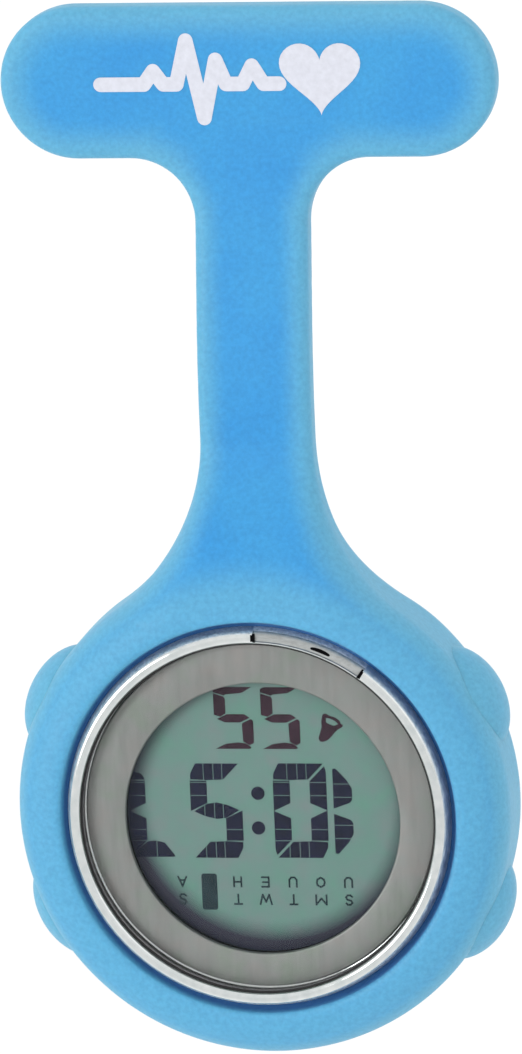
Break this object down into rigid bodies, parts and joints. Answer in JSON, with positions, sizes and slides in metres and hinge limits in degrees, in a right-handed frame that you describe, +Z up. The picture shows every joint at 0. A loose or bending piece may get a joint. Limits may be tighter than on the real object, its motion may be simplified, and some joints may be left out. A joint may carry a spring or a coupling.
{
  "type": "fob watch",
  "caption": "Silicone nurse's fob watch: T-shaped strap with a brooch pin, round pocket head with an upside-down digital display and squeeze buttons on its rim.",
  "frame": {"origin": "centre of the brooch bar's rear face, which lies against the garment", "axes": "+Z up along the hanging strap, +Y out of the brooch bar's rear face into the garment, so the display faces -Y, +X to the right of someone facing the display"},
  "size_m": [0.0412, 0.016, 0.0864],
  "materials": {
    "silicone": "matte translucent",
    "chrome": "polished",
    "steel": "satin",
    "brushed": "brushed",
    "lens": "clear polished",
    "cell_glass": "clear",
    "display": "satin",
    "black": "matte",
    "ivory": "matte",
    "board": "solder mask",
    "brass": "satin",
    "ceramic": "matte",
    "rubber": "matte"
  },
  "bodies": {
    "fob": {"fob_bar": "silicone", "pin_bar": "steel", "pin_rivet": "steel"},
    "pin": {"pin_arm": "steel"},
    "catch": {"catch_sleeve": "steel"},
    "head": {"fob_pocket": "silicone", "case_middle": "chrome", "bezel_ring": "chrome", "lens": "lens", "lens_gasket": "rubber", "dial_ring": "brushed", "case_back": "steel", "case_back_seal": "rubber", "display_spacer": "black", "front_polariser": "display", "display_front_glass": "cell_glass", "display_rear_glass": "cell_glass", "rear_polariser": "display", "backlight_panel": "ivory", "contact_strip_upper": "rubber", "contact_strip_lower": "rubber", "module_frame": "ivory", "circuit_board": "board", "chip_drop": "black", "quartz_crystal": "steel", "battery_contact": "brass", "coin_cell": "steel", "module_plate": "steel", "battery_clamp": "steel", "module_screw_upper_left": "steel", "module_screw_upper_right": "steel", "module_screw_lower_left": "steel", "module_screw_lower_right": "steel", "clamp_screw_left": "steel", "clamp_screw_right": "steel", "buzzer_plate": "brass", "buzzer_ceramic": "ceramic", "buzzer_spring": "brass", "pusher_spring_upper_right": "steel", "pusher_seal_upper_right": "rubber", "pusher_spring_upper_left": "steel", "pusher_seal_upper_left": "rubber", "pusher_spring_lower_left": "steel", "pusher_seal_lower_left": "rubber", "pusher_spring_lower_right": "steel", "pusher_seal_lower_right": "rubber"},
    "button_upper_right": {"button_dome_upper_right": "silicone", "pusher_upper_right": "steel", "pusher_clip_upper_right": "steel"},
    "button_upper_left": {"button_dome_upper_left": "silicone", "pusher_upper_left": "steel", "pusher_clip_upper_left": "steel"},
    "button_lower_left": {"button_dome_lower_left": "silicone", "pusher_lower_left": "steel", "pusher_clip_lower_left": "steel"},
    "button_lower_right": {"button_dome_lower_right": "silicone", "pusher_lower_right": "steel", "pusher_clip_lower_right": "steel"}
  },
  "joints": [
    {"name": "strap_flex", "type": "hinge", "parent": "fob", "child": "head", "pos_m": [0, -0.0038, -0.02], "axis": [-1, 0, 0], "range_deg": [0, 100], "stiffness_Nm_per_rad": 0.002},
    {"name": "pin_open", "type": "hinge", "parent": "fob", "child": "pin", "pos_m": [-0.0136, 0.002, 0], "axis": [0, 0, 1], "range_deg": [0, 75]},
    {"name": "catch_turn", "type": "hinge", "parent": "fob", "child": "catch", "pos_m": [0.0122, 0.002, 0], "axis": [-1, 0, 0], "range_deg": [0, 110]},
    {"name": "press_upper_right", "type": "slide", "parent": "head", "child": "button_upper_right", "axis": [-0.887, 0, -0.4617], "range_m": [0, 0.0009], "stiffness_N_per_m": 400, "deforming": ["pusher_spring_upper_right"]},
    {"name": "press_upper_left", "type": "slide", "parent": "head", "child": "button_upper_left", "axis": [0.887, 0, -0.4617], "range_m": [0, 0.0009], "stiffness_N_per_m": 400, "deforming": ["pusher_spring_upper_left"]},
    {"name": "press_lower_left", "type": "slide", "parent": "head", "child": "button_lower_left", "axis": [0.887, 0, 0.4617], "range_m": [0, 0.0009], "stiffness_N_per_m": 400, "deforming": ["pusher_spring_lower_left"]},
    {"name": "press_lower_right", "type": "slide", "parent": "head", "child": "button_lower_right", "axis": [-0.887, 0, 0.4617], "range_m": [0, 0.0009], "stiffness_N_per_m": 400, "deforming": ["pusher_spring_lower_right"]}
  ]
}
